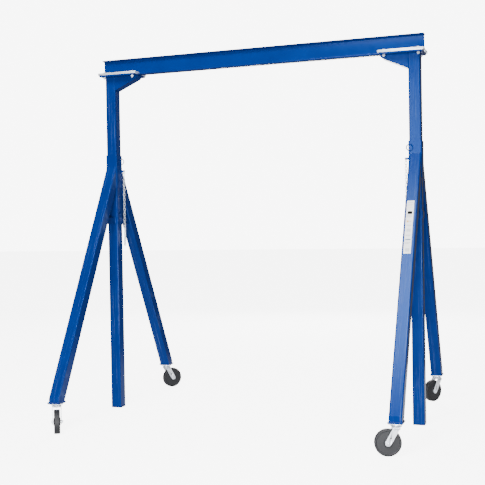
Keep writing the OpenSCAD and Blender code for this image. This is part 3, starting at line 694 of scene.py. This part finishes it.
for side, row in CORNERS:
    name = f"caster_plate_{side}_{row}"
    x, y = foot(side, row)
    bm = bmesh.new()
    plate = outline(bm, [(x + a * PLATE_X / 2, y + b * PLATE_Y / 2, top_z - PLATE_THICK)
                         for a, b in ((-1, -1), (1, -1), (1, 1), (-1, 1))])
    push(bm, plate, (0, 0, PLATE_THICK))
    uprights = [e for e in bm.edges if abs(e.verts[0].co.z - e.verts[1].co.z) > 0.001]
    round_edges(bm, uprights, PLATE_CORNER, 5)
    flat = [e for e in bm.edges if abs(e.verts[0].co.z - e.verts[1].co.z) < 1e-6 and e.calc_face_angle(0) > 1]
    round_edges(bm, flat, 0.0008, 2)
    under = top_z - PLATE_THICK
    lathe(bm, at(x, y, 0), [(RACE_INNER, under + 0.0005), (RACE_INNER, ball_z + 0.004),
                            (RACE - RACE_LIP, ball_z + 0.0026), (RACE, ball_z + 0.0049),
                            (RACE + RACE_LIP, ball_z + 0.0026),
                            (RACE + RACE_FOOT - 0.001, ball_z + 0.0022), (RACE + RACE_FOOT, ball_z + 0.0032),
                            (RACE + RACE_FOOT - 0.002, under + 0.0005)])
    foot_z = crown_low - 0.006
    rivet_r = KINGPIN + KINGPIN_LIP
    lathe(bm, at(x, y, 0), [(0, foot_z), (rivet_r - 0.002, foot_z), (rivet_r, foot_z + 0.002),
                            (rivet_r, foot_z + KINGPIN_HEAD), (KINGPIN, foot_z + KINGPIN_HEAD),
                            (KINGPIN, top_z - 0.001)], 24)
    finish(shape(bm, f"pressed_{name}"), zinc, f"{side}_frame", "zinc_plate", name)

# ---------------------------------------------------------------- swivel balls
# Eighteen hardened balls in the race between the top plate and the fork's crown. Ground
# and polished, so they are bright, with only a trace of scatter.
BALL, BALLS = 0.00475, 18
GLINT = 300.0     # patches of scatter in a metre, so one in about 3 mm
ball_steel, ball_shader = material("polished_bearing_steel")
obj = node(ball_steel, "TexCoord").outputs["Object"]
glint = node(ball_steel, "TexNoise", [(obj, "Vector")], Scale=GLINT)
node(ball_steel, "MapRange", [(glint.outputs["Fac"], "Value"), (0, ball_shader.inputs["Roughness"])],
     To_Min=0.12, To_Max=0.22)
ball_shader.inputs["Base Color"].default_value = linear("#c9ccd0")
ball_shader.inputs["Metallic"].default_value = 1.0
for side, row in CORNERS:
    x, y = foot(side, row)
    bm = bmesh.new()
    for k in range(BALLS):
        angle = math.radians(HEADING[side, row] + 360 / BALLS * k)
        bmesh.ops.create_uvsphere(bm, u_segments=14, v_segments=9, radius=BALL, matrix=Matrix.Translation(
            (x + RACE * math.cos(angle), y + RACE * math.sin(angle), ball_z)))
    finish(shape(bm, f"race_balls_{side}_{row}"), ball_steel, f"swivel_{side}_{row}", "bearing_steel",
           f"swivel_balls_{side}_{row}")

# ---------------------------------------------------------------- forks
# The fork is pressed from one steel plate: a flat crown with the lower half of the ball
# race, and two legs bent down from it in round bends, raked back to the axle. Each leg
# has an extra hole for an axle lock. Zinc-plated.
WHEEL_R, WHEEL_WIDTH, TRAIL = 0.1016, 0.0508, 0.0635
CHEEK, CHEEK_IN, CHEEK_END = 0.006, 0.033, 0.0225
CHEEK_OUT = CHEEK_IN + CHEEK
CROWN_R, CROWN_THICK, CROWN_BACK, CROWN_AHEAD = 0.041, 0.008, 0.026, 0.028
SKIRT = 0.012         # how far the bends reach down beside the crown
BEND, FORK_EDGE = 0.006, 0.0008
SPARE_HOLE, SPARE_BACK, SPARE_UP = 0.006, 0.020, 0.040
for side, row in CORNERS:
    x, y = foot(side, row)
    bm = bmesh.new()
    # The crown and the bends, as one bent strip along the heading.
    strip = outline(bm, [(-CROWN_BACK, a, z) for a, z in (
        (-CHEEK_OUT, crown_low - SKIRT), (-CHEEK_OUT, crown_low + CROWN_THICK),
        (CHEEK_OUT, crown_low + CROWN_THICK), (CHEEK_OUT, crown_low - SKIRT),
        (CHEEK_IN, crown_low - SKIRT), (CHEEK_IN, crown_low),
        (-CHEEK_IN, crown_low), (-CHEEK_IN, crown_low - SKIRT))])
    push(bm, strip, (CROWN_BACK + CROWN_AHEAD, 0, 0))
    bends = [e for e in bm.edges if abs(e.verts[0].co.x - e.verts[1].co.x) > 0.05
             and abs(e.verts[0].co.z - crown_low - CROWN_THICK) < 1e-6]
    round_edges(bm, bends, BEND, 5)
    # The legs: an outline that narrows to a round end about the axle.
    lean = math.atan2(crown_low - WHEEL_R, TRAIL)
    for a in (-CHEEK_OUT, CHEEK_IN):
        old = set(bm.verts)
        flat = [(-CROWN_BACK, crown_low + 0.001), (CROWN_AHEAD, crown_low + 0.001)]
        swing = [math.pi / 2 - lean - math.pi * k / 12 for k in range(13)]
        tip = [(TRAIL + CHEEK_END * math.cos(t), WHEEL_R + CHEEK_END * math.sin(t)) for t in swing]
        leg = outline(bm, [(px, a, pz) for px, pz in flat + tip])
        push(bm, leg, (0, CHEEK, 0))
        new = [v for v in bm.verts if v not in old]
        rims = [e for e in {e for v in new for e in v.link_edges}
                if abs(e.verts[0].co.y - e.verts[1].co.y) < 1e-6 and max(v.co.z for v in e.verts) < crown_low]
        round_edges(bm, rims, FORK_EDGE, 2)
    place = at(x, y, 0, math.radians(HEADING[side, row]))
    bmesh.ops.transform(bm, verts=bm.verts[:], matrix=place)
    shoulder = crown_low + CROWN_THICK
    lathe(bm, place, [(KINGPIN + 0.0006, shoulder - 0.001), (KINGPIN + 0.0006, crown_top),
                      (RACE - RACE_LIP, crown_top), (RACE, crown_top - 0.0026), (RACE + RACE_LIP, crown_top),
                      (CROWN_R - 0.002, crown_top), (CROWN_R, crown_top - 0.003), (CROWN_R, shoulder + 0.001),
                      (CROWN_R - 0.003, shoulder - 0.001)])
    fork = finish(shape(bm, f"pressed_fork_{side}_{row}"), zinc, f"swivel_{side}_{row}", "zinc_plate",
                  f"fork_{side}_{row}")
    # The spare holes are cut through both legs by one drill.
    drill = bmesh.new()
    rod(drill, place @ Matrix.Translation((TRAIL - SPARE_BACK, CHEEK_OUT + 0.001, WHEEL_R + SPARE_UP))
        @ Matrix.Rotation(math.pi / 2, 4, "X"), SPARE_HOLE, 2 * CHEEK_OUT + 0.002)
    cutter = shape(drill, f"drill_{side}_{row}")
    cut = fork.modifiers.new("spare_holes", "BOOLEAN")
    cut.operation, cut.object, cut.solver = "DIFFERENCE", cutter, "EXACT"
    bpy.context.view_layer.update()
    pierced = bpy.data.meshes.new_from_object(fork.evaluated_get(bpy.context.evaluated_depsgraph_get()))
    fork.modifiers.clear()
    fork.data = pierced
    bpy.data.objects.remove(cutter)

# ---------------------------------------------------------------- axles
# A zinc-plated hexagon bolt through the fork's legs and the wheel's bushing, held by a nut
# on the far side.
AXLE, AXLE_HEX, AXLE_HEAD, AXLE_NUT, AXLE_TAIL = 0.0127, 0.019, 0.008, 0.011, 0.002


def axle_place(side, row):
    """The axle's centre, with Z along the axle."""
    x, y = foot(side, row)
    return (at(x, y, 0, math.radians(HEADING[side, row])) @ Matrix.Translation((TRAIL, 0, WHEEL_R))
            @ Matrix.Rotation(math.pi / 2, 4, "X"))


for side, row in CORNERS:
    place = axle_place(side, row)
    bm = bmesh.new()
    hexagon(bm, place @ Matrix.Translation((0, 0, CHEEK_OUT)), AXLE_HEX, AXLE_HEAD)
    hexagon(bm, place @ Matrix.Translation((0, 0, -CHEEK_OUT)) @ down, AXLE_HEX, AXLE_NUT)
    rod(bm, place @ Matrix.Translation((0, 0, CHEEK_OUT + 0.001)) @ down, AXLE / 2,
        2 * CHEEK_OUT + AXLE_NUT + AXLE_TAIL + 0.001, 0.0012)
    finish(shape(bm, f"axle_bolt_{side}_{row}"), zinc, f"swivel_{side}_{row}", "zinc_plate",
           f"axle_{side}_{row}")

# ---------------------------------------------------------------- bushings
# A plain steel bushing that the wheel turns on, between the fork's legs, ground and
# slightly chamfered at both ends.
BUSHING_BORE, BUSHING_R, BUSHING_EDGE = 0.0065, 0.011, 0.0005
for side, row in CORNERS:
    bm = bmesh.new()
    reach = CHEEK_IN - 0.0003
    lathe(bm, axle_place(side, row), [
        (BUSHING_BORE, -reach), (BUSHING_R - BUSHING_EDGE, -reach), (BUSHING_R, -reach + BUSHING_EDGE),
        (BUSHING_R, reach - BUSHING_EDGE), (BUSHING_R - BUSHING_EDGE, reach), (BUSHING_BORE, reach),
        (BUSHING_BORE, -reach)], 32)
    finish(shape(bm, f"plain_bushing_{side}_{row}"), ball_steel, f"swivel_{side}_{row}", "bearing_steel",
           f"bushing_{side}_{row}")

# ---------------------------------------------------------------- wheels
# Solid wheels moulded from phenolic resin and chopped canvas, 8 inches across: a heavy
# tread ring, a dished face and a raised hub. The canvas shows as a fine brownish fleck,
# and the tread is scuffed grey by the floor.
phenolic, phenolic_shader = material("canvas_phenolic")
obj = node(phenolic, "TexCoord").outputs["Object"]
FLECKS, SCUFFS = 260.0, 60.0     # in a metre: canvas flecks about 4 mm apart, scuffs about 17 mm
fleck = node(phenolic, "TexVoronoi", [(obj, "Vector")], Scale=FLECKS)
haze = node(phenolic, "TexNoise", [(obj, "Vector")], Scale=SCUFFS, Detail=5.0, Roughness=0.7)
grit = node(phenolic, "Math", [(fleck.outputs["Distance"], 0), (haze.outputs["Fac"], 1)],
            operation="MULTIPLY")
body_tone = node(phenolic, "Mix", [(grit.outputs[0], 0), (2, phenolic_shader.inputs["Base Color"])],
                 data_type="RGBA")
body_tone.inputs[6].default_value, body_tone.inputs[7].default_value = linear("#0a090a"), linear("#2b2f38")
dull = node(phenolic, "MapRange", [(haze.outputs["Fac"], "Value"), (0, phenolic_shader.inputs["Roughness"])],
            To_Min=0.5, To_Max=0.7)
node(phenolic, "Bump", [(fleck.outputs["Distance"], "Height"), ("Normal", phenolic_shader.inputs["Normal"])],
     Strength=0.25, Distance=0.0006)
HUB_R, HUB_PROUD, RIM, DISH, WHEEL_BORE = 0.031, 0.004, 0.0136, 0.003, 0.01105
half_width = WHEEL_WIDTH / 2
rim_r = WHEEL_R - RIM
side_profile = [(WHEEL_BORE, half_width + HUB_PROUD), (HUB_R - 0.002, half_width + HUB_PROUD),
                (HUB_R, half_width + HUB_PROUD - 0.0015), (HUB_R + 0.003, half_width - 0.001),
                (rim_r - 0.004, half_width - DISH), (rim_r - 0.001, half_width - 0.0006),
                (rim_r + 0.001, half_width), (WHEEL_R - 0.006, half_width),
                (WHEEL_R - 0.0028, half_width - 0.0016), (WHEEL_R - 0.0008, half_width - 0.0045),
                (WHEEL_R, half_width - 0.008)]
for side, row in CORNERS:
    bm = bmesh.new()
    profile = side_profile + [(r, -z) for r, z in reversed(side_profile)]
    lathe(bm, axle_place(side, row), profile + profile[:1], 96)
    finish(shape(bm, f"moulded_wheel_{side}_{row}"), phenolic, f"rolling_{side}_{row}", "phenolic",
           f"wheel_{side}_{row}")
